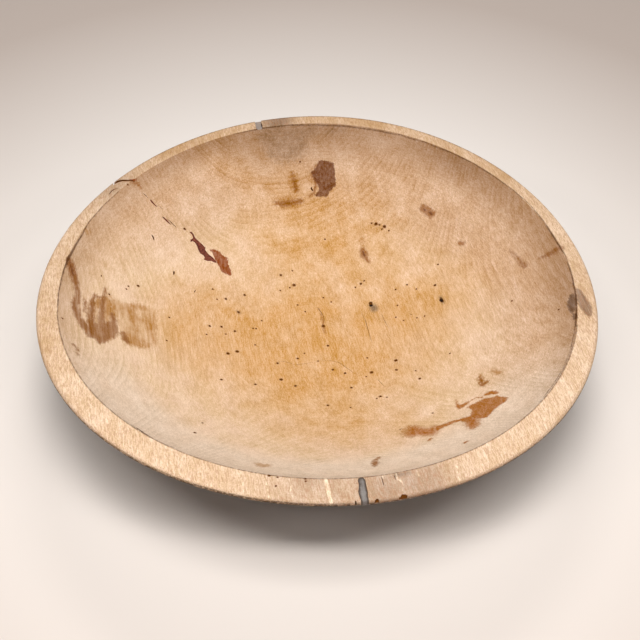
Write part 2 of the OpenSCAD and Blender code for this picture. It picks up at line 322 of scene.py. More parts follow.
# Cracks, scratches and chips with their greatest width in millimetres
CRACKS = [
    (1.3, [(151.6, 234.0), (152.8, 236.6), (154.6, 241.0)]),
    (1.5, [(173.8, 270.6), (174.0, 275.4)]),
    (0.9, [(194.0, 292.6), (195.6, 289.6)]),
    (0.7, [(101.0, 274.6), (101.5, 277.0)]),
    (1.5, [(311.2, 186.6), (311.5, 189.4), (313.2, 191.2)]),
    (0.7, [(109.2, 194.9), (110.8, 191.7), (113.3, 189.6), (118.1, 188.2)]),
    (0.5, [(141.5, 192.0), (145.6, 195.2), (149.0, 199.0)]),
    (0.4, [(156.3, 204.4), (160.0, 206.6), (163.5, 210.0)]),
    (0.9, [(166.0, 217.7), (170.6, 221.7), (176.7, 227.9)]),
    (0.8, [(399.2, 430.2), (400.4, 429.0), (402.8, 428.2)]),
    (0.35, [(271.4, 360.1), (284.7, 361.6), (295.9, 364.7), (306.1, 363.7), (316.0, 361.9)]),
    (0.35, [(319.5, 361.2), (331.6, 360.6), (339.8, 362.7), (344.0, 366.0), (357.1, 374.9)]),
    (0.45, [(316.3, 306.5), (319.5, 310.0), (321.4, 312.7), (324.0, 317.0), (324.6, 322.0)]),
    (0.35, [(360.7, 310.7), (365.2, 319.8), (369.2, 334.1), (372.2, 343.3)]),
    (0.3, [(381.3, 312.7), (384.5, 320.8), (389.6, 329.0)]),
    (0.35, [(376.3, 378.0), (381.0, 383.0), (385.5, 387.1)]),
    (0.5, [(409.6, 313.4), (412.2, 315.2)]),
    (0.6, [(380.8, 475.4), (382.4, 479.0), (383.9, 486.0)]),
    (0.5, [(394.0, 475.0), (395.0, 477.6), (396.1, 480.4)]),
    (2.2, [(374.7, 500.8), (377.2, 500.0), (379.5, 500.8)]),
    (2.0, [(398.7, 497.4), (403.0, 496.0), (407.9, 495.6)]),
    (1.6, [(354.8, 502.0), (356.8, 502.4)]),
    (1.2, [(141.2, 431.4), (142.6, 432.4)]),
    (1.2, [(152.0, 437.4), (153.2, 438.2)]),
]
# Their depth, the spacing and least number of their points, and the size of their raggedness
CRACK_DEPTH = 2.2
CRACK_STEP = 1.5
CRACK_POINTS = 6
CRACK_RAGGED = 1.7
# Open end of the split at the rim, and the stretches of filler in it
SPLIT_GAP = [(112.4, 183.6), (116.5, 180.9), (121.0, 179.7), (127.0, 179.5), (133.0, 180.4), (136.0, 181.4),
             (132.0, 181.4), (127.0, 180.9), (121.5, 181.2), (117.3, 182.6), (113.4, 185.0)]
SPLIT_FILLS = [
    [(149.5, 199.1), (151.7, 200.1), (154.3, 203.4), (157.9, 207.4), (155.3, 205.9), (151.2, 202.3)],
    [(161.4, 215.9), (164.4, 217.4), (168.0, 220.6), (171.6, 225.3), (168.2, 223.0), (164.6, 219.8)],
    [(189.0, 232.2), (190.5, 231.4), (192.0, 231.9), (193.6, 234.5), (195.1, 237.6), (198.2, 240.6),
     (202.2, 244.2), (205.8, 248.0), (204.8, 248.8), (206.3, 251.3), (208.9, 254.4), (212.4, 256.9),
     (217.0, 262.0), (215.5, 262.9), (213.0, 262.0), (211.4, 261.0), (207.3, 261.0), (203.8, 259.5),
     (204.8, 257.4), (203.3, 255.4), (200.2, 253.4), (198.2, 249.8), (197.1, 246.2), (195.1, 242.7),
     (192.6, 241.1), (190.5, 242.1), (190.5, 239.6), (193.1, 238.1), (192.6, 236.0), (190.5, 233.0)],
]
# Sides of both checks, from the hollow outwards
NEAR_LEFT = [(360.3, 477.2), (358.3, 478.4), (357.9, 481.0), (358.9, 485.0), (358.6, 488.5), (358.2, 491.7),
             (359.0, 495.0), (360.0, 498.0), (361.0, 501.5), (362.0, 504.5)]
NEAR_RIGHT = [(363.0, 477.4), (365.4, 479.7), (366.2, 484.3), (366.7, 487.9), (367.9, 492.2), (367.9, 496.0),
              (369.0, 500.6), (369.6, 504.0)]
FAR_LEFT = [(258.0, 129.8), (256.2, 128.6), (255.8, 126.8), (255.4, 124.4), (253.6, 121.6)]
FAR_RIGHT = [(260.8, 129.6), (262.6, 128.2), (262.4, 125.4), (261.2, 122.6), (261.4, 120.4)]


def swing(a, b, angle):
    """Two directions at right angles, turned from the first towards the second."""
    return a * math.cos(angle) + b * math.sin(angle), b * math.cos(angle) - a * math.sin(angle)


def camera_axes():
    """Place, right, up and ahead of the camera, in millimetres."""
    high = math.sin(CAMERA_ELEVATION)
    flat = math.cos(CAMERA_ELEVATION)
    place = np.array([0, -flat * CAMERA_DISTANCE, RIM_Z + high * CAMERA_DISTANCE])
    right = np.array([1.0, 0, 0])
    ahead = np.array([0, flat, -high])
    up = np.cross(right, ahead)
    ahead, up = swing(ahead, up, CAMERA_TILT)
    ahead, right = swing(ahead, right, CAMERA_PAN)
    right, up = swing(right, up, CAMERA_ROLL)
    return place, right, up, ahead


def ramp(value, start, end):
    """Eased step from 0 at start to 1 at end."""
    t = np.clip((value - start) / (end - start), 0, 1)
    return t * t * (3 - 2 * t)


def warp(r, a):
    """Height that the dried-out warp adds."""
    share = np.clip((r - FOOT_R) / (MOUTH_R - FOOT_R), 0, None) ** 2
    return RIM_WARP * share * np.cos(2 * (a - WARP_ANGLE))


def widening(a):
    """How much wider than in the solids the rim is in a direction."""
    return RIM_OVAL * np.sin(a) ** 2 - RIM_SHIFT * np.sin(a)


def sway(share, a):
    """Height that the rim's uneven corner adds to the outside, at a share of the way up from the foot."""
    return -ROUND_SWING * share ** 2 * np.sin(a)


def even_radius(places):
    """Distance from the axis as if the rim were equally wide all round."""
    r = np.hypot(places[:, 0], places[:, 1])
    width = RIM_W + widening(np.arctan2(places[:, 1], places[:, 0]))
    return np.where(r > MOUTH_R, MOUTH_R + (r - MOUTH_R) * RIM_W / width, r)


def top_height(places):
    """Height of the hollow and of the rim's top at places in plan."""
    a = np.arctan2(places[:, 1], places[:, 0])
    r = np.minimum(even_radius(places), RIM_R)
    hollow = BASE_T + HOLLOW_R - np.sqrt(HOLLOW_R ** 2 - r ** 2)
    flat = RIM_Z - RIM_FALL * np.clip((r - MOUTH_R) / (RIM_W - RIM_ROUND), -1, 1)
    corner = RIM_ROUND + ROUND_SWING * np.sin(a)
    past = np.clip(r - (RIM_R - corner), 0, corner)
    rim = flat - corner + np.sqrt(corner ** 2 - past ** 2)
    ease = np.clip(EDGE_ROUND - np.abs(hollow - rim), 0, None) ** 2 / (4 * EDGE_ROUND)
    return np.minimum(hollow, rim) - ease + warp(r, a)


def on_bowl(pixels):
    """Places in plan where pixels of the photo meet the bowl's top, in millimetres."""
    place, right, up, ahead = camera_axes()
    px = (np.atleast_2d(np.array(pixels, float))[:, :2] - PHOTO_PX / 2) / FOCAL_PX
    sight = ahead + px[:, :1] * right - px[:, 1:] * up
    near = np.full(len(px), SIGHT_START * CAMERA_DISTANCE)
    far = np.full(len(px), SIGHT_END * CAMERA_DISTANCE)
    for _ in range(SIGHT_STEPS):
        middle = (near + far) / 2
        at = place + sight * middle[:, None]
        above = at[:, 2] > top_height(at)
        near = np.where(above, middle, near)
        far = np.where(above, far, middle)
    return (place + sight * far[:, None])[:, :2]


def line_gap(places, line, halves):
    """Distance in plan from places to a line, less the line's half width there."""
    gap = np.full(len(places), NO_MARK)
    for p, q, start, end in zip(line[:-1], line[1:], halves[:-1], halves[1:]):
        way = q - p
        t = np.clip((places - p) @ way / (way @ way), 0, 1)
        off = places - p - t[:, None] * way
        gap = np.minimum(gap, np.hypot(off[:, 0], off[:, 1]) - start - t * (end - start))
    return gap


def outline_gap(places, outline):
    """Signed distance in plan from places to a closed outline, negative inside."""
    closed = np.concatenate([outline, outline[:1]])
    gap = line_gap(places, closed, np.zeros(len(closed)))
    inside = np.zeros(len(places), bool)
    for p, q in zip(closed[:-1], closed[1:]):
        crossing = (p[1] > places[:, 1]) != (q[1] > places[:, 1])
        rise = q[1] - p[1] if q[1] != p[1] else 1.0
        inside ^= crossing & (places[:, 0] < p[0] + (places[:, 1] - p[1]) / rise * (q[0] - p[0]))
    return np.where(inside, -gap, gap)


def mark_gap(places, outlines=(), strokes=()):
    """Signed distance in plan from places to a mark made of outlines and strokes in pixels."""
    gap = np.full(len(places), NO_MARK)
    for outline in outlines:
        gap = np.minimum(gap, outline_gap(places, on_bowl(outline)))
    for stroke in strokes:
        gap = np.minimum(gap, line_gap(places, on_bowl(stroke), np.array(stroke)[:, 2]))
    return gap


def ring(r, count, share=0.0):
    """Places in plan of one turned ring, which takes a share of the rim's widening."""
    a = 2 * math.pi * np.arange(count) / count
    r = r + share * widening(a)
    return np.column_stack([r * np.cos(a), r * np.sin(a)])


def top_skin():
    """Points and faces of the hollow and the rim's top, finer round the marks."""
    row = COARSE / FINER * math.sqrt(3) / 2
    count = int(MOUTH_R / row)
    i, j = (g.ravel() for g in np.meshgrid(np.arange(-2 * count, 2 * count), np.arange(-count, count + 1)))
    lattice = np.column_stack([(i + 0.5 * j) * COARSE / FINER, j * row])
    inside = np.hypot(lattice[:, 0], lattice[:, 1]) < MOUTH_R - COARSE
    i, j, lattice = i[inside], j[inside], lattice[inside]
    keep = (i % FINER == 0) & (j % FINER == 0)
    for outline in VARNISH_OUTLINES + SIENNA_OUTLINES + RUST_OUTLINES + SOAK_OUTLINES:
        line = on_bowl(outline + outline[:1])
        keep |= line_gap(lattice, line, np.zeros(len(line))) < FINE_REACH
    for stroke in VARNISH_STROKES + RUST_STROKES + SOAK_STROKES + BLOT_STROKES + HALO_STROKES:
        keep |= line_gap(lattice, on_bowl(stroke), np.array(stroke)[:, 2]) < FINE_REACH
    plan = [lattice[keep]]
    edge = MOUTH_R + np.array(EDGE_STEPS)
    corner = RIM_R - RIM_ROUND * (1 - np.sin(np.radians(CORNER_STEPS)))
    plan += [ring(r, TURNS, max(0, r - MOUTH_R) / RIM_W) for r in np.concatenate([edge, corner])]
    found = delaunay_2d_cdt([Vector(p) for p in np.concatenate(plan).tolist()], [], [], 0, SAME_POINT)
    places = np.array([list(v) for v in found[0]])
    return np.column_stack([places, top_height(places)]), [list(f) for f in found[2]]


def wall_section(t):
    """Distance from the axis and height of the outside, from the foot at 0 to the band at 1."""
    run = np.array([RIM_R - FOOT_R, BAND_Z])
    out = np.array([run[1], -run[0]]) / np.hypot(*run)
    return np.array([FOOT_R, 0.0]) + t * run + out * WALL_SWELL * 4 * t * (1 - t)


def bowl_skin():
    """Points and faces of the whole closed bowl before anything is cut into it."""
    points, faces = top_skin()
    points = [points]
    total = len(points[0])
    upper = list(range(total - TURNS, total))
    rows = [(RIM_R, BAND_Z, TURNS)]
    rows += [(*wall_section(t), TURNS // 2) for t in WALL_STEPS]
    rows += [(r, z, TURNS // 2) for r, z in FOOT_RINGS]
    for r, z, count in rows:
        share = max(0, r - FOOT_R) / (RIM_R - FOOT_R)
        plan = ring(r, count, share)
        a = np.arctan2(plan[:, 1], plan[:, 0])
        points.append(np.column_stack([plan, z + warp(r, a) + sway(share, a)]))
        lower = list(range(total, total + count))
        total += count
        step = len(upper) // count
        for c in range(count):
            tops = [upper[(c * step + k) % len(upper)] for k in range(step, -1, -1)]
            faces.append([lower[c], lower[(c + 1) % count]] + tops)
        upper = lower
    points.append(np.zeros((1, 3)))
    for c in range(len(upper)):
        faces.append([upper[c], total, upper[(c + 1) % len(upper)]])
    return np.concatenate(points), faces


def make_piece(name, points, faces):
    """An object at the origin, from points in millimetres."""
    mesh = bpy.data.meshes.new(name)
    mesh.from_pydata((np.asarray(points) * MM).tolist(), [], faces)
    mesh.update()
    piece = bpy.data.objects.new(name, mesh)
    bpy.context.scene.collection.objects.link(piece)
    return piece


def prism(outline, low, high):
    """Points and faces of a closed block over an outline in plan, between two heights or lists of heights."""
    low = np.broadcast_to(low, len(outline))
    high = np.broadcast_to(high, len(outline))
    x, y = outline[:, 0], outline[:, 1]
    if np.sum(x * np.roll(y, -1) - y * np.roll(x, -1)) < 0:
        return prism(outline[::-1], low[::-1], high[::-1])
    count = len(outline)
    points = np.concatenate([np.column_stack([outline, low]), np.column_stack([outline, high])])
    faces = [[k, (k + 1) % count, (k + 1) % count + count, k + count] for k in range(count)]
    for a, b, c in tessellate_polygon([[Vector((*p, 0)) for p in outline.tolist()]]):
        ahead, aside = outline[b] - outline[a], outline[c] - outline[a]
        up = [a, b, c] if ahead[0] * aside[1] > ahead[1] * aside[0] else [c, b, a]
        faces.append([k + count for k in up])
        faces.append(up[::-1])
    return points, faces


def following_block(outline, depth):
    """Points and faces of a block over an outline in plan, from a depth below the bowl's top to above it."""
    top = top_height(outline)
    return prism(outline, top - depth, top + REACH)


def join(blocks):
    """Points and faces of several blocks as one list."""
    points, faces = [], []
    total = 0
    for block_points, block_faces in blocks:
        points.append(block_points)
        faces += [[k + total for k in face] for face in block_faces]
        total += len(block_points)
    return np.concatenate(points), faces


def combine(piece, cutter, operation):
    """Cuts a piece with a cutter, or keeps what they share, and drops the cutter."""
    modifier = piece.modifiers.new("cut", "BOOLEAN")
    modifier.operation = operation
    modifier.solver = "MANIFOLD"
    modifier.object = cutter
    graph = bpy.context.evaluated_depsgraph_get()
    mesh = bpy.data.meshes.new_from_object(piece.evaluated_get(graph))
    piece.modifiers.clear()
    piece.data = mesh
    bpy.data.objects.remove(cutter)


def crack_outline(line, width):
    """Outline of a crack along a line in plan, pointed at both ends and a little ragged."""
    lengths = np.concatenate([[0], np.cumsum(np.hypot(*np.diff(line, axis=0).T))])
    count = max(CRACK_POINTS, int(lengths[-1] / CRACK_STEP))
    t = np.linspace(0, lengths[-1], count)
    path = np.column_stack([np.interp(t, lengths, line[:, k]) for k in (0, 1)])
    way = np.gradient(path, axis=0)
    side = np.column_stack([-way[:, 1], way[:, 0]]) / np.hypot(way[:, 0], way[:, 1])[:, None]
    ragged = np.array([noise.noise(Vector((*p, 0)) / CRACK_RAGGED) for p in path])
    path = path + side * (0.5 * width * ragged)[:, None]
    taper = np.sqrt(np.clip(np.sin(np.pi * t / lengths[-1]), 0, 1))
    half = width / 2 * taper * (1 + 0.5 * ragged)
    left = path + side * half[:, None]
    right = path - side * half[:, None]
    return np.concatenate([left, right[-2:0:-1]])


def check_outline(left, right):
    """Outline in plan of a check whose sides are pixels, drawn on past the rim's outside."""
    sides = []
    for side in (on_bowl(left), on_bowl(right)):
        past = side[-1] * (RIM_R + REACH) / np.hypot(*side[-1])
        sides.append(np.concatenate([side, [past]]))
    return np.concatenate([sides[0], sides[1][::-1]])


def grown(outline, by):
    """An outline pushed outwards, or drawn in where the distance is negative."""
    before = outline - np.roll(outline, 1, axis=0)
    after = np.roll(outline, -1, axis=0) - outline
    way = before / np.hypot(*before.T)[:, None] + after / np.hypot(*after.T)[:, None]
    x, y = outline[:, 0], outline[:, 1]
    turn = np.sign(np.sum(x * np.roll(y, -1) - y * np.roll(x, -1)))
    return outline + by * turn * np.column_stack([way[:, 1], -way[:, 0]]) / np.hypot(*way.T)[:, None]


def nail_stub(place):
    """Points and faces of one nail stub: worn round at the top and sunk a little below the wood."""
    place = np.array(place)
    top = top_height(place[None])[0]
    points = []
    for inset, z in NAIL_RINGS:
        plan = place + ring(NAIL_R - inset, NAIL_SIDES)
        points.append(np.column_stack([plan, np.full(NAIL_SIDES, top + z)]))
    points.append([[*place, top + NAIL_RINGS[0][1]], [*place, top + NAIL_RINGS[-1][1] + NAIL_CROWN]])
    starts = [k * NAIL_SIDES for k in range(len(NAIL_RINGS))]
    bottom = starts[-1] + NAIL_SIDES
    crown = bottom + 1
    faces = []
    for c in range(NAIL_SIDES):
        d = (c + 1) % NAIL_SIDES
        faces += [[low + c, low + d, high + d, high + c] for low, high in zip(starts[:-1], starts[1:])]
        faces += [[bottom, d, c], [crown, starts[-1] + c, starts[-1] + d]]
    return np.concatenate(points), faces


def linear(code):
    """Linear colour of an sRGB hex value."""
    parts = [int(code[k:k + 2], 16) / 255 for k in (1, 3, 5)]
    return [c / 12.92 if c <= 0.04045 else ((c + 0.055) / 1.055) ** 2.4 for c in parts] + [1.0]


def add(tree, kind, inputs=None, **settings):
    """Adds a node with its settings, values and links; a node given as a value is its first output."""
    made = tree.nodes.new(kind)
    for key, value in settings.items():
        setattr(made, key, value)
    for key, value in (inputs or {}).items():
        socket = made.inputs[key]
        if isinstance(key, str):
            socket = next(s for s in made.inputs if s.enabled and s.name == key)
        if isinstance(value, bpy.types.Node):
            value = next(s for s in value.outputs if s.enabled)
        if isinstance(value, bpy.types.NodeSocket):
            tree.links.new(value, socket)
        else:
            socket.default_value = value
    return made


def worm_hole_tree():
    """Geometry nodes that bore a tapered hole at each point, as wide as the point's size says."""
    tree = bpy.data.node_groups.new("worm_holes", "GeometryNodeTree")
    tree.interface.new_socket("Geometry", in_out="INPUT", socket_type="NodeSocketGeometry")
    kinds = {"Depth": "Float", "Sides": "Int", "Taper": "Float", "Lean": "Float", "Seed": "Int"}
    for name, kind in kinds.items():
        tree.interface.new_socket(name, in_out="INPUT", socket_type="NodeSocket" + kind)
    tree.interface.new_socket("Geometry", in_out="OUTPUT", socket_type="NodeSocketGeometry")
    given = add(tree, "NodeGroupInput").outputs
    bore = add(tree, "GeometryNodeMeshCone", {"Vertices": given["Sides"], "Radius Top": 1.0,
                                              "Radius Bottom": given["Taper"], "Depth": given["Depth"]})
    size = add(tree, "GeometryNodeInputNamedAttribute", {"Name": "size"}, data_type="FLOAT")
    scale = add(tree, "ShaderNodeCombineXYZ", {"X": size, "Y": size, "Z": 1.0})
    least = add(tree, "ShaderNodeMath", {0: given["Lean"], 1: -1.0}, operation="MULTIPLY")
    lean = add(tree, "FunctionNodeRandomValue", {"Min": least, "Max": given["Lean"], "Seed": given["Seed"]},
               data_type="FLOAT")
    turn = add(tree, "ShaderNodeCombineXYZ", {"X": lean, "Y": lean})
    holes = add(tree, "GeometryNodeInstanceOnPoints", {"Points": given["Geometry"], "Instance": bore,
                                                       "Rotation": turn, "Scale": scale})
    solid = add(tree, "GeometryNodeRealizeInstances", {"Geometry": holes})
    bores = add(tree, "GeometryNodeSetMaterial", {"Geometry": solid})
    add(tree, "NodeGroupOutput", {"Geometry": bores})
    return tree


def worm_holes():
    """Places in plan and radii of all worm holes, in millimetres."""
    places = on_bowl([px for group in WORM_HOLES.values() for px in group])
    return places, np.array([r for r, group in WORM_HOLES.items() for _ in group])


def worm_hole_cutter():
    """The bores of all worm holes as one plain mesh."""
    places, sizes = worm_holes()
    cutter = make_piece("worm_holes", np.column_stack([places, top_height(places) - HOLE_DEPTH]), [])
    paint(cutter, "size", sizes * MM)
    tree = worm_hole_tree()
    modifier = cutter.modifiers.new("bore", "NODES")
    modifier.node_group = tree
    values = {"Depth": (HOLE_DEPTH + HOLE_REACH) * MM, **HOLE_SHAPE}
    for item in tree.interface.items_tree:
        if item.in_out == "INPUT" and item.name in values:
            modifier[item.identifier] = values[item.name]
    graph = bpy.context.evaluated_depsgraph_get()
    mesh = bpy.data.meshes.new_from_object(cutter.evaluated_get(graph))
    cutter.modifiers.clear()
    cutter.data = mesh
    return cutter


def new_material(name):
    """A material without nodes, and its tree."""
    material = bpy.data.materials.new(name)
    material.use_nodes = True
    material.node_tree.nodes.clear()
    return material, material.node_tree


def vertices(piece):
    """Points of a piece in millimetres."""
    points = np.empty(3 * len(piece.data.vertices))
    piece.data.vertices.foreach_get("co", points)
    return points.reshape(-1, 3) / MM


def paint(piece, name, values):
    """Stores one value for each point of a piece."""
    stored = piece.data.attributes.new(name, "FLOAT", "POINT")
    stored.data.foreach_set("value", np.asarray(values, np.float32))


def finish_piece(piece, material, node):
    """Gives a piece its material and its place in the frame."""
    piece.data.materials.clear()
    piece.data.materials.append(material)
    piece.data.polygons.foreach_set("material_index", np.zeros(len(piece.data.polygons), np.int32))
    piece.data.shade_smooth()
    piece.data.set_sharp_from_angle(angle=SHARP_ANGLE)
    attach(piece, "root")
    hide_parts(node)


# Dry wood drifts between these two, and soft tones are laid over it one after the other
PEACH = "#E2C1A2"
STRAW = "#DEBD98"
# The near tone is painted light: it pales the near wall of the hollow
TONES = {"tan": "#CCA582", "gold": "#CA985E", "near": "#E4CBB2", "painted_far_shade": "#86603F", "rim": "#E0BE9B",
         "honey": "#C49A6C", "weathered": "#A88A72"}
# The dark brown wall tone is painted shade on the far wall below the rim
# The other tones are unevenly strong
EVEN_TONES = ("rim", "painted_far_shade")
# Stains by their colour, how ragged and how soft their edge is in millimetres, how much they cover,
# and how much of that the streaks and the patches take away
STAINS = {
    "moon": ("#8A6C52", 7.0, 5.0, 0.7, 0.45, 0.3),
    "grey": ("#7F604C", 3.0, 1.4, 0.88, 0.2, 0.0),
    "wash": ("#AA7536", 5.0, 3.0, 0.9, 0.25, 0.6),
    "amber": ("#AA7536", 5.0, 2.6, 0.75, 0.2, 0.0),
    "blot": ("#905A27", 2.4, 1.8, 0.95, 0.12, 0.0),
    "soak": ("#8D5C34", 2.6, 1.8, 1.0, 0.3, 0.1),
    "rust": ("#A56629", 1.8, 1.1, 1.0, 0.1, 0.0),
    "tawny": ("#A5642A", 3.0, 5.0, 1.0, 0.15, 0.0),
    "sienna": ("#8B4720", 2.4, 0.6, 1.0, 0.15, 0.0),
    "varnish": ("#704226", 1.4, 0.6, 1.0, 0.15, 0.0),
    "damp": ("#705440", 2.0, 0.8, 0.95, 0.15, 0.0),
    "cream": ("#F2D8B6", 0.6, 0.5, 0.9, 0.0, 0.0),
    "worm": ("#7C4A18", 0.4, 0.8, 0.9, 0.0, 0.0),
    "halo": ("#4A3E36", 1.6, 3.0, 0.7, 0.0, 0.0),
    "edge": ("#4E2E16", 0.6, 0.5, 0.8, 0.0, 0.0),
}
# Patterns by their size across and along the fibres in millimetres, and their detail; fibres, flecks and
# pores are drawn coarser than real ones, which would be too fine to show
PATTERNS = {"fibre": (0.8, 9.0, 3.0), "streak": (2.4, 45.0, 2.0), "mottle": (12.0, 20.0, 4.0),
            "hue": (24.0, 36.0, 2.0), "fleck": (0.9, 1.2, 2.0), "wander": (90.0, 160.0, 0.0),
            "ragged": (1.8, 4.0, 3.0), "pore": (0.9, 5.0, 1.0)}
# How strongly each pattern lightens and darkens the wood
GRAIN = {"fibre": 0.55, "streak": 0.26, "mottle": 0.42, "fleck": 0.5, "lathe": 0.07, "late": -0.08}
# What the grain darkens it also warms
GRAIN_WARMTH = 0.8
# Width of a growth ring, how far patterns shift it, and spacing of the turning tool's marks, in millimetres
RING_MM = 3.0
RING_SHIFTS = {"wander": 20.0, "mottle": 1.5}
LATHE_MM = 1.2
# Short dark pores on the rim and the tanned wall, and dark specks in the oiled bottom: the pattern, where it
# turns dark, the tone that shows it, its strength and its colour
PORES = [("pore", 0.5, "rim", 0.45, "#B27E5C"), ("pore", 0.56, "tan", 0.3, "#9A6A44"),
         ("fleck", 0.68, "gold", 0.5, "#7A4E2A")]
PORE_EDGE = 0.12
# Old skin of the outside from dark to pale, dirt and painted shade down in the cuts, and grime with painted
# shade
SKIN_DARK = "#4A382A"
SKIN_PALE = "#80674F"
CUT_DIRT_AND_SHADE = "#6E3E10"
GRIME_AND_SHADE = "#3A2614"
# The outside starts this far below the band, and takes in points this far off its section, in millimetres
BAND_SLACK = 0.5
WALL_SLACK = 1.0
# Oiled, golden wood in the bottom: middle and half widths of each patch in millimetres, and its strength
GOLD_PATCHES = [(0, -5, 140, 115, 1.0), (5, 125, 95, 58, 0.75), (35, -118, 75, 42, 0.5),
                (90, 50, 75, 60, 0.6), (-100, 5, 55, 65, 0.7), (-72, 178, 50, 30, 0.25),
                (0, -105, 75, 50, 0.15)]
# Grey and honey-brown stretches of the rim: direction and half width in degrees, and strength
WEATHERED = [(101, 4, 0.9), (-81, 18, 0.4), (-74.5, 6, 0.35), (-91, 6, 0.3), (148, 7, 0.5), (-69, 4.5, 0.3)]
HONEY = [(-162, 8, 0.45), (0, 9, 0.35), (40, 6, 0.3), (80, 6, 0.45), (130, 7, 0.4), (174, 9, 0.25)]
# Tanned wall, and painted shade on the wall below the far rim, by direction in degrees: where each starts and
# is complete, in millimetres from the axis, and how much of it there is
WALLS = {
    "tan": {-180: (190, 222, 0.4), -150: (190, 222, 0.3), -120: (200, 222, 0.0), -60: (190, 222, 0.0),
            -30: (140, 195, 0.6), 0: (130, 190, 1.0), 30: (120, 180, 1.0), 60: (110, 180, 1.0),
            90: (110, 170, 1.0), 120: (120, 195, 1.0), 150: (130, 215, 0.8), 180: (190, 222, 0.4)},
    "painted_far_shade": {-180: (192, 222, 0.32), -150: (205, 224, 0.1), -60: (205, 224, 0.1), -30: (200, 226, 0.25),
             0: (180, 228, 0.6), 30: (185, 225, 0.5), 52: (190, 222, 0.8), 70: (186, 224, 0.55),
             90: (180, 225, 0.7), 108: (172, 224, 0.65), 120: (200, 224, 0.65), 150: (195, 225, 0.35),
             180: (192, 222, 0.32)},
}
# Where other tones start and are complete: in millimetres from the axis, by side from -1 near to 1 far, and
# for the golden patches in half widths
RIM_STEP = (MOUTH_R - 0.3, MOUTH_R + 0.5)
# The near wall's painted light starts and is complete at these radii and sides
PALE_RADII = (160, 190)
PALE_SIDE = (-0.2, -0.7)
HONEY_SIDE = (0.3, 0.9)
HONEY_MOST = 0.45
GOLD_STEP = (1.3, 0.2)
# How clear the grain is at least, and what some tones add to that
CLEAR_LEAST = 0.8
CLEARER = {"gold": 0.4, "tan": 0.3, "rim": 0.3}
# Dark line along the near edge of the mouth: its half width in millimetres and the side where it starts
EDGE_LINE = 0.4
EDGE_SIDE = -0.2
# Grime and painted shade below the rim's band in millimetres: where they start and are complete, where they
# have faded and are still whole, and how much wider they get on the near side from one x to another
GRIME_SHADE_START = (-1.9, -0.4)
GRIME_SHADE_FADE = (7.0, 1.0)
GRIME_SHADE_WIDER = 1.6
GRIME_SHADE_X = (60, 20)
# Darker colour on top along the far outer edge, and how far in from the edge any of this darkening lies
FAR_DARK_EDGE = (RIM_R - 5.0, RIM_R - 2.6)
FAR_DARK_SIDE = (0.5, 0.9)
FAR_DARK_MOST = 0.8
GRIME_SHADE_REACH = 12


def growth_rings(tree, grain, radius, pattern, rim):
    """Growth rings round the pith, which runs along the fibres: a thin dark line ends each ring."""
    ring_place = add(tree, "ShaderNodeVectorMath", {0: grain, 1: (0, 0, PITH_Z)}, operation="SUBTRACT")
    ring_place = add(tree, "ShaderNodeVectorMath", {0: ring_place, 1: (1, 0, 1)}, operation="MULTIPLY")
    depth = add(tree, "ShaderNodeVectorMath", {0: ring_place}, operation="LENGTH").outputs["Value"]
    for name, shift in RING_SHIFTS.items():
        depth = add(tree, "ShaderNodeMath", {0: pattern[name], 1: shift, 2: depth}, operation="MULTIPLY_ADD")
    phase = add(tree, "ShaderNodeMath", {0: depth, 1: RING_MM}, operation="DIVIDE")
    year = add(tree, "ShaderNodeTexNoise", {"W": phase, "Scale": 0.37, "Detail": 1.0}, noise_dimensions="1D")
    share = add(tree, "ShaderNodeMath", {0: phase}, operation="FRACT")
    late = add(tree, "ShaderNodeMapRange", {"Value": share, "From Min": 0.2, "From Max": 1.0,
                                            "To Min": 0.0, "To Max": 2.0})
    late = add(tree, "ShaderNodeMath", {0: late, 1: year}, operation="MULTIPLY")
    # Rings show in patches on the walls, where the cut crosses them, and die out in the bottom
    crossed = add(tree, "ShaderNodeMapRange", {"Value": radius, "From Min": 60.0, "From Max": 170.0,
                                               "To Min": 0.15, "To Max": 1.0})
    crossed = add(tree, "ShaderNodeMath", {0: crossed, 1: rim}, operation="SUBTRACT")
    patch = add(tree, "ShaderNodeMapRange", {"Value": pattern["hue"], "From Min": 0.4, "From Max": 0.62,
                                             "To Min": 0.1, "To Max": 1.5})
    late = add(tree, "ShaderNodeMath", {0: late, 1: patch}, operation="MULTIPLY")
    return add(tree, "ShaderNodeMath", {0: late, 1: crossed}, operation="MULTIPLY")


def toned(tree, pattern, mark):
    """Dry wood that drifts from peach to straw, with the soft tones over it."""
    drift = add(tree, "ShaderNodeMapRange", {"Value": pattern["hue"], "From Min": 0.35, "From Max": 0.65})
    colour = add(tree, "ShaderNodeMix", {"Factor": drift, "A": linear(PEACH), "B": linear(STRAW)},
                 data_type="RGBA")
    uneven = add(tree, "ShaderNodeMapRange", {"Value": pattern["hue"], "From Min": 0.3, "From Max": 0.7,
                                              "To Min": 0.75, "To Max": 1.25})
    for name, code in TONES.items():
        share = mark[name]
        if name not in EVEN_TONES:
            share = add(tree, "ShaderNodeMath", {0: share, 1: uneven}, operation="MULTIPLY", use_clamp=True)
        colour = add(tree, "ShaderNodeMix", {"Factor": share, "A": colour, "B": linear(code)},
                     data_type="RGBA")
    return colour


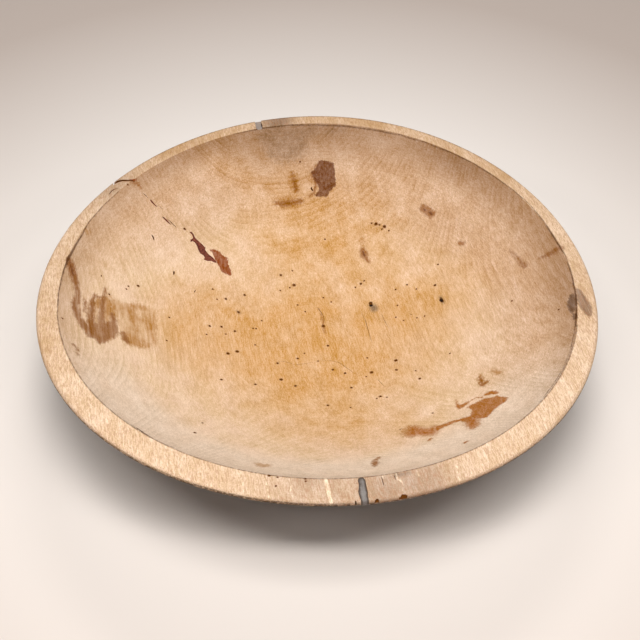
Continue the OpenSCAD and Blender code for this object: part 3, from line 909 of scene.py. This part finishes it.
def stained(tree, colour, pattern, mark):
    """Stains over a colour: they have a ragged edge and take unevenly along the fibres."""
    for name, (code, ragged, soft, most, streaks, patches) in STAINS.items():
        gap = add(tree, "ShaderNodeMath", {0: pattern["ragged"], 1: 2 * ragged, 2: mark[name]},
                  operation="MULTIPLY_ADD")
        cover = add(tree, "ShaderNodeMapRange",
                    {"Value": gap, "From Min": ragged + soft, "From Max": ragged - soft,
                     "To Min": 0.0, "To Max": most}, interpolation_type="SMOOTHSTEP")
        for size, least, taken in (("streak", 0.35, streaks), ("mottle", 0.4, patches)):
            left = add(tree, "ShaderNodeMapRange",
                       {"Value": pattern[size], "From Min": least, "From Max": 1 - least,
                        "To Min": 1.0, "To Max": 1.0 - taken})
            cover = add(tree, "ShaderNodeMath", {0: cover, 1: left}, operation="MULTIPLY")
        colour = add(tree, "ShaderNodeMix", {"Factor": cover, "A": colour, "B": linear(code)},
                     data_type="RGBA")
    return colour


def grained(tree, colour, pattern, mark):
    """Grain over a colour, which shades the wood and its stains alike, and dark pores."""
    level = -0.5 * sum(GRAIN.values())
    for name, strength in GRAIN.items():
        level = add(tree, "ShaderNodeMath", {0: pattern[name], 1: strength, 2: level},
                    operation="MULTIPLY_ADD")
    level = add(tree, "ShaderNodeMath", {0: level, 1: mark["clear"]}, operation="MULTIPLY")
    value = add(tree, "ShaderNodeMath", {0: level, 1: 1.0}, operation="ADD")
    warmth = add(tree, "ShaderNodeMath", {0: level, 1: -GRAIN_WARMTH, 2: 1.0}, operation="MULTIPLY_ADD")
    colour = add(tree, "ShaderNodeHueSaturation", {"Color": colour, "Saturation": warmth, "Value": value})
    for size, start, tone, most, code in PORES:
        dark = add(tree, "ShaderNodeMapRange",
                   {"Value": pattern[size], "From Min": start, "From Max": start + PORE_EDGE,
                    "To Min": 0.0, "To Max": most})
        dark = add(tree, "ShaderNodeMath", {0: dark, 1: mark[tone]}, operation="MULTIPLY")
        colour = add(tree, "ShaderNodeMix", {"Factor": dark, "A": colour, "B": linear(code)},
                     data_type="RGBA")
    return colour


def soiled(tree, colour, pattern, mark):
    """Old brown skin over a colour on the outside, dirt and painted shade in the cuts, and grime with painted
    shade along the edge.
    """
    worn = add(tree, "ShaderNodeMix",
               {"Factor": pattern["streak"], "A": linear(SKIN_DARK), "B": linear(SKIN_PALE)},
               data_type="RGBA")
    colour = add(tree, "ShaderNodeMix", {"Factor": mark["outside"], "A": colour, "B": worn},
                 data_type="RGBA")
    # Dirt and painted shade darken the cuts, fully from 0.6 mm down
    deep = add(tree, "ShaderNodeMapRange", {"Value": mark["cut"], "From Min": 0.1, "From Max": 0.6})
    colour = add(tree, "ShaderNodeMix", {"Factor": deep, "A": colour, "B": linear(CUT_DIRT_AND_SHADE)},
                 data_type="RGBA")
    # Grime with painted shade along the rim's edge
    grime_and_shade = add(tree, "ShaderNodeMapRange", {"Value": pattern["ragged"], "From Min": 0.3, "From Max": 0.55})
    grime_and_shade = add(tree, "ShaderNodeMath", {0: grime_and_shade, 1: mark["grime_and_shade"]}, operation="MULTIPLY")
    return add(tree, "ShaderNodeMix", {"Factor": grime_and_shade, "A": colour, "B": linear(GRIME_AND_SHADE)}, data_type="RGBA")


def surface(tree, colour, height, roughness, gloss, strength, relief):
    """Ends a material that isn't bare metal, with a bump as high as its relief in millimetres."""
    bump = add(tree, "ShaderNodeBump", {"Height": height, "Strength": strength, "Distance": relief * MM})
    shader = add(tree, "ShaderNodeBsdfPrincipled",
                 {"Base Color": colour, "Roughness": roughness, "Normal": bump,
                  "IOR": 1.5, "Specular IOR Level": gloss})
    add(tree, "ShaderNodeOutputMaterial", {"Surface": shader})


def old_maple():
    """Dry, hand-worn maple: pale, with fine fibres and faint rings, gold where oiled, brown where wet."""
    material, tree = new_material("old_maple")
    place = add(tree, "ShaderNodeTexCoord").outputs["Object"]
    grain = add(tree, "ShaderNodeMapping", {"Vector": place, "Rotation": (0, 0, -GRAIN_TURN),
                                            "Scale": (1 / MM, 1 / MM, 1 / MM)})
    pattern = {}
    for name, (across, along, detail) in PATTERNS.items():
        stretched = add(tree, "ShaderNodeMapping",
                        {"Vector": grain, "Scale": (1 / across, 1 / along, 1 / across)})
        pattern[name] = add(tree, "ShaderNodeTexNoise",
                            {"Vector": stretched, "Scale": 1.0, "Detail": detail})
    mark = {}
    for name in [*TONES, *STAINS, "clear", "grime_and_shade", "cut", "outside"]:
        mark[name] = add(tree, "ShaderNodeAttribute", attribute_name=name).outputs["Fac"]
    flat = add(tree, "ShaderNodeVectorMath", {0: grain, 1: (1, 1, 0)}, operation="MULTIPLY")
    radius = add(tree, "ShaderNodeVectorMath", {0: flat}, operation="LENGTH").outputs["Value"]
    pattern["late"] = growth_rings(tree, grain, radius, pattern, mark["rim"])
    # Marks of the turning tool, round the axis
    turned = add(tree, "ShaderNodeMath", {0: radius, 1: LATHE_MM}, operation="DIVIDE")
    pattern["lathe"] = add(tree, "ShaderNodeTexNoise", {"W": turned, "Scale": 1.0, "Detail": 0.0},
                           noise_dimensions="1D")

    colour = toned(tree, pattern, mark)
    colour = stained(tree, colour, pattern, mark)
    colour = grained(tree, colour, pattern, mark)
    colour = soiled(tree, colour, pattern, mark)
    rough = add(tree, "ShaderNodeMapRange", {"Value": pattern["mottle"], "From Min": 0.3, "From Max": 0.7,
                                             "To Min": 0.62, "To Max": 0.74})
    height = add(tree, "ShaderNodeMath", {0: pattern["fibre"], 1: pattern["lathe"]}, operation="ADD")
    # Dry open wood reflects much less than its index alone would
    surface(tree, colour, height, roughness=rough, gloss=0.06, strength=0.5, relief=0.06)
    return material


def putty():
    """Hard old putty: matt grey, paler in the middle than along its dirty edges, with fine grit."""
    material, tree = new_material("old_putty")
    place = add(tree, "ShaderNodeTexCoord").outputs["Object"]
    grit = add(tree, "ShaderNodeTexNoise", {"Vector": place, "Scale": 1 / (0.8 * MM), "Detail": 3.0})
    cloud = add(tree, "ShaderNodeTexNoise", {"Vector": place, "Scale": 1 / (4.0 * MM), "Detail": 2.0})
    margin = add(tree, "ShaderNodeAttribute", attribute_name="margin").outputs["Fac"]
    gap = add(tree, "ShaderNodeMath", {0: cloud, 1: 1.6, 2: margin}, operation="MULTIPLY_ADD")
    inner = add(tree, "ShaderNodeMapRange", {"Value": gap, "From Min": 0.4, "From Max": -1.6},
                interpolation_type="SMOOTHSTEP")
    colour = add(tree, "ShaderNodeMix", {"Factor": inner, "A": linear("#54463C"), "B": linear("#88817C")},
                 data_type="RGBA")
    paler = add(tree, "ShaderNodeMapRange", {"Value": gap, "From Min": -4.0, "From Max": -5.5})
    colour = add(tree, "ShaderNodeMix", {"Factor": paler, "A": colour, "B": linear("#A89486")},
                 data_type="RGBA")
    level = add(tree, "ShaderNodeMapRange", {"Value": grit, "From Min": 0.25, "From Max": 0.75,
                                             "To Min": 0.85, "To Max": 1.15})
    colour = add(tree, "ShaderNodeMix", {"Factor": 1.0, "A": colour, "B": level}, data_type="RGBA",
                 blend_type="MULTIPLY")
    surface(tree, colour, grit, roughness=0.8, gloss=0.3, strength=0.7, relief=0.2)
    return material


def shellac():
    """Dark red shellac filler: dull, crazed and browner where it has worn thin."""
    material, tree = new_material("red_shellac_filler")
    place = add(tree, "ShaderNodeTexCoord").outputs["Object"]
    cloud = add(tree, "ShaderNodeTexNoise", {"Vector": place, "Scale": 1 / (2.2 * MM), "Detail": 4.0})
    worn = add(tree, "ShaderNodeMapRange", {"Value": cloud, "From Min": 0.35, "From Max": 0.7})
    colour = add(tree, "ShaderNodeMix", {"Factor": worn, "A": linear("#56241A"), "B": linear("#8A4A34")},
                 data_type="RGBA")
    surface(tree, colour, cloud, roughness=0.6, gloss=0.2, strength=0.6, relief=0.2)
    return material


def iron():
    """Oxidised iron: nearly black, dull, with a little brown rust in its pits."""
    material, tree = new_material("oxidised_iron")
    place = add(tree, "ShaderNodeTexCoord").outputs["Object"]
    pits = add(tree, "ShaderNodeTexNoise", {"Vector": place, "Scale": 1 / (0.7 * MM), "Detail": 3.0})
    rust = add(tree, "ShaderNodeMapRange", {"Value": pits, "From Min": 0.45, "From Max": 0.75})
    colour = add(tree, "ShaderNodeMix", {"Factor": rust, "A": linear("#20140D"), "B": linear("#3A2314")},
                 data_type="RGBA")
    surface(tree, colour, pits, roughness=0.7, gloss=0.1, strength=0.8, relief=0.2)
    return material


def stretches(turn, patches):
    """Strength of soft patches round the rim at directions in degrees."""
    total = np.zeros(len(turn))
    for middle, half, strength in patches:
        off = (turn - middle + 180) % 360 - 180
        total += strength * np.exp(-(off / half) ** 2)
    return total


def on_outside(points):
    """Whether points lie on the outside, below the rim's band."""
    x, y, z = points.T
    a = np.arctan2(y, x)
    r = np.hypot(x, y)
    share = np.clip((r - FOOT_R) / (RIM_R - FOOT_R + widening(a)), 0, 1)
    wall_r = r - share * widening(a)
    wall = np.array([wall_section(t) for t in np.linspace(0, 1, 60)])
    wall_z = np.interp(wall_r, wall[:, 0], wall[:, 1]) + warp(wall_r, a) + sway(share, a)
    below = top_height(points[:, :2]) - z
    return (below > RIM_BAND + BAND_SLACK) & (z < wall_z + WALL_SLACK)


def tone_strengths(places):
    """Strength of each soft tone, and how clear the grain is, at places in plan."""
    x, y = places.T
    r = even_radius(places)
    a = np.arctan2(y, x)
    far = np.sin(a)
    turn = np.degrees(a)
    on_rim = ramp(r, *RIM_STEP)
    hollow = 1 - on_rim
    gold = np.zeros(len(places))
    for middle_x, middle_y, half_x, half_y, strength in GOLD_PATCHES:
        off_middle = np.hypot((x - middle_x) / half_x, (y - middle_y) / half_y)
        gold = gold + (1 - gold) * strength * ramp(off_middle, *GOLD_STEP)
    tones = {
        "gold": gold,
        # Painted light that pales the near wall
        "near": ramp(r, *PALE_RADII) * ramp(far, *PALE_SIDE) * hollow,
        "rim": on_rim,
        "honey": on_rim * (HONEY_MOST * ramp(far, *HONEY_SIDE) + stretches(turn, HONEY)),
        "weathered": on_rim * stretches(turn, WEATHERED),
    }
    # Tan, and painted shade on the far wall below the rim
    for name, sides in WALLS.items():
        start, end, most = (np.interp(turn, list(sides), column) for column in zip(*sides.values()))
        tones[name] = most * ramp(r, start, end) * hollow
    tones["clear"] = CLEAR_LEAST + sum(more * tones[name] for name, more in CLEARER.items())
    return tones


def stain_gaps(places):
    """Distance in plan from places to each kind of stain, less than zero inside it."""
    worm = np.full(len(places), NO_MARK)
    for hole, size in zip(*worm_holes()):
        worm = np.minimum(worm, np.hypot(*(places - hole).T) - size)
    near = places[:, 1] < EDGE_SIDE * np.hypot(*places.T)
    edge_line = np.where(near, np.abs(even_radius(places) - MOUTH_R) - EDGE_LINE, MARK_REACH)
    return {
        "moon": mark_gap(places, MOON_OUTLINES),
        "grey": mark_gap(places, GREY_OUTLINES),
        "damp": mark_gap(places, DAMP_OUTLINES),
        "wash": mark_gap(places, WASH_OUTLINES),
        "amber": mark_gap(places, AMBER_OUTLINES, AMBER_STROKES),
        "blot": mark_gap(places, BLOT_OUTLINES, BLOT_STROKES),
        "soak": mark_gap(places, SOAK_OUTLINES, SOAK_STROKES),
        "rust": mark_gap(places, RUST_OUTLINES, RUST_STROKES),
        "tawny": mark_gap(places, TAWNY_OUTLINES),
        "sienna": mark_gap(places, SIENNA_OUTLINES, SIENNA_STROKES),
        "varnish": mark_gap(places, VARNISH_OUTLINES, VARNISH_STROKES),
        "cream": mark_gap(places, strokes=CREAM_STROKES),
        "edge": np.minimum(mark_gap(places, strokes=EDGE_STROKES), edge_line),
        "worm": worm,
        "halo": mark_gap(places, strokes=HALO_STROKES),
    }


def grime_and_shade_cover(points):
    """How dark points are painted: grime and painted shade in a line below the rim's corner, and a darker
    band on top along the far edge.
    """
    x, y, z = points.T
    r = even_radius(points[:, :2])
    a = np.arctan2(y, x)
    far = np.sin(a)
    past = BAND_Z + sway(1, a) + warp(r, a) - z
    wide = GRIME_SHADE_WIDER * ramp(x, *GRIME_SHADE_X) * ramp(-far, 0, 1)
    # Grime and painted shade in a line below the rim's corner
    low_grime_and_shade = ramp(past + wide, *GRIME_SHADE_START) * ramp(past, *GRIME_SHADE_FADE)
    # A darker band on top along the far outer edge
    far_edge_dark = FAR_DARK_MOST * ramp(r, *FAR_DARK_EDGE) * ramp(far, *FAR_DARK_SIDE)
    return (r > RIM_R - GRIME_SHADE_REACH) * np.maximum(low_grime_and_shade, far_edge_dark)


def paint_wood(piece):
    """Stores the tones, the distances to the stains and the depth of the cuts at each point of the wood."""
    points = vertices(piece)
    places = points[:, :2]
    outside = on_outside(points)
    for name, values in tone_strengths(places).items():
        paint(piece, name, np.where(outside, 0, values))
    for name, values in stain_gaps(places).items():
        paint(piece, name, np.where(outside, MARK_REACH, np.clip(values, -MARK_REACH, MARK_REACH)))
    below = top_height(places) - points[:, 2]
    in_cut = ~outside & (even_radius(places) < RIM_R - 0.1)
    paint(piece, "cut", np.where(in_cut, np.clip(below, 0, MARK_REACH), 0))
    paint(piece, "outside", outside)
    paint(piece, "grime_and_shade", grime_and_shade_cover(points))


# Pieces
skin = bowl_skin()
bowl = make_piece("bowl_body", *skin)
near_outline = check_outline(NEAR_LEFT, NEAR_RIGHT)
far_outline = check_outline(FAR_LEFT, FAR_RIGHT)
near_edge = RIM_Z + warp(MOUTH_R, NEAR_ANGLE)
far_edge = RIM_Z + warp(MOUTH_R, FAR_ANGLE)
split_outlines = [on_bowl(outline) for outline in SPLIT_FILLS]
pockets = [prism(near_outline, near_edge - NEAR_DEPTH, near_edge + REACH),
           prism(far_outline, far_edge - FAR_DEPTH, far_edge + REACH),
           following_block(on_bowl(SPLIT_GAP), GAP_DEPTH)]
pockets += [following_block(outline, SPLIT_DEPTH) for outline in split_outlines]
for nail in NAIL_PLACES:
    circle = ring(NAIL_R + FILL_GAP, NAIL_HOLE_SIDES) + nail
    top = top_height(np.array([nail]))
    pockets.append(prism(circle, top - NAIL_L, top + REACH))
combine(bowl, make_piece("pockets", *join(pockets)), "DIFFERENCE")
combine(bowl, worm_hole_cutter(), "DIFFERENCE")
cracks = [following_block(crack_outline(on_bowl(line), width), CRACK_DEPTH) for width, line in CRACKS]
combine(bowl, make_piece("cracks", *join(cracks)), "DIFFERENCE")
paint_wood(bowl)
finish_piece(bowl, old_maple(), "bowl")

sunk_skin = (skin[0] - [0, 0, FILL_SINK], skin[1])
grey_putty = putty()
for node, outline, low, high, paler in (
        ("near_check_fill", near_outline, near_edge - NEAR_DEPTH, near_edge + REACH, 0.0),
        ("far_check_fill", far_outline, far_edge - FAR_DEPTH, far_edge - FAR_SINK, FAR_PUTTY_PALER)):
    fill = make_piece(node.replace("check", "putty"), *sunk_skin)
    block = prism(grown(outline, -FILL_GAP), low + FILL_GAP, high)
    combine(fill, make_piece("block", *block), "INTERSECT")
    # The far putty's margin is shifted, which paints it paler against the shade of its pocket
    paint(fill, "margin", outline_gap(vertices(fill)[:, :2], outline) - paler)
    finish_piece(fill, grey_putty, node)
split = make_piece("split_filler", *sunk_skin)
blocks = []
for outline in split_outlines:
    top = top_height(outline)
    blocks.append(prism(grown(outline, -FILL_GAP), top - SPLIT_DEPTH + FILL_GAP, top + REACH))
combine(split, make_piece("block", *join(blocks)), "INTERSECT")
finish_piece(split, shellac(), "split_fill")
nails = make_piece("iron_nail_stubs", *join([nail_stub(nail) for nail in NAIL_PLACES]))
finish_piece(nails, iron(), "nail_stubs")

# Floor, in metres: half its width, and the middle of the pool of light painted on the paper, where it is
# palest
FLOOR_HALF = 3.0
LIGHT_POOL_MIDDLE = (0, 0.1, 0)


def paper_sweep():
    """Matt paper with a painted pool of light: pale round the bowl and greyer farther out."""
    material, tree = new_material("pale_paper_sweep")
    place = add(tree, "ShaderNodeTexCoord").outputs["Object"]
    off_middle = add(tree, "ShaderNodeVectorMath", {0: place, 1: LIGHT_POOL_MIDDLE}, operation="DISTANCE")
    away = add(tree, "ShaderNodeMapRange",
               {"Value": off_middle.outputs["Value"], "From Min": 0.22, "From Max": 0.6})
    # Painted light: the paper greys away from the middle of the pool
    colour = add(tree, "ShaderNodeMix", {"Factor": away, "A": linear("#F9F0E8"), "B": linear("#CDBDB2")},
                 data_type="RGBA")
    shader = add(tree, "ShaderNodeBsdfPrincipled", {"Base Color": colour, "Roughness": 0.9})
    add(tree, "ShaderNodeOutputMaterial", {"Surface": shader})
    return material


corners = [(-1, -1, 0), (1, -1, 0), (1, 1, 0), (-1, 1, 0)]
floor = make_piece("floor", np.array(corners) * FLOOR_HALF / MM, [(0, 1, 2, 3)])
floor.data.materials.append(paper_sweep())

# Lights: strength of the white world, and each box by its place and size in metres and its power in watts
WORLD_LIGHT = 0.02
world = bpy.data.worlds.new("studio")
world.use_nodes = True
world.node_tree.nodes["Background"].inputs["Color"].default_value = (1, 1, 1, 1)
world.node_tree.nodes["Background"].inputs["Strength"].default_value = WORLD_LIGHT
bpy.context.scene.world = world
SOFTBOXES = [((0, -0.85, 1.8), (1.8, 0.25), 27.0), ((0, -0.48, 1.8), (0.7, 0.5), 12.0),
             ((-1.64, -1.18, 1.8), (0.8, 0.5), 10.0), ((1.64, -1.18, 1.8), (0.8, 0.5), 10.0),
             ((0, 1.32, 1.8), (0.8, 0.5), 13.0)]
for at, size, power in SOFTBOXES:
    data = bpy.data.lights.new("softbox", "AREA")
    data.shape = "RECTANGLE"
    data.size, data.size_y = size
    data.energy = power
    lamp = bpy.data.objects.new("softbox", data)
    lamp.location = at
    bpy.context.scene.collection.objects.link(lamp)

# Camera, as fitted to the photo
place, right, up, ahead = camera_axes()
camera_data = bpy.data.cameras.new("camera")
camera_data.sensor_width = SENSOR_MM
camera_data.lens = FOCAL_PX / PHOTO_PX * SENSOR_MM
camera = bpy.data.objects.new("camera", camera_data)
pose = Matrix((right, up, -ahead)).transposed().to_4x4()
pose.translation = Vector(place * MM)
camera.matrix_world = pose
bpy.context.scene.collection.objects.link(camera)
bpy.context.scene.camera = camera
bpy.context.scene.view_settings.view_transform = "Standard"
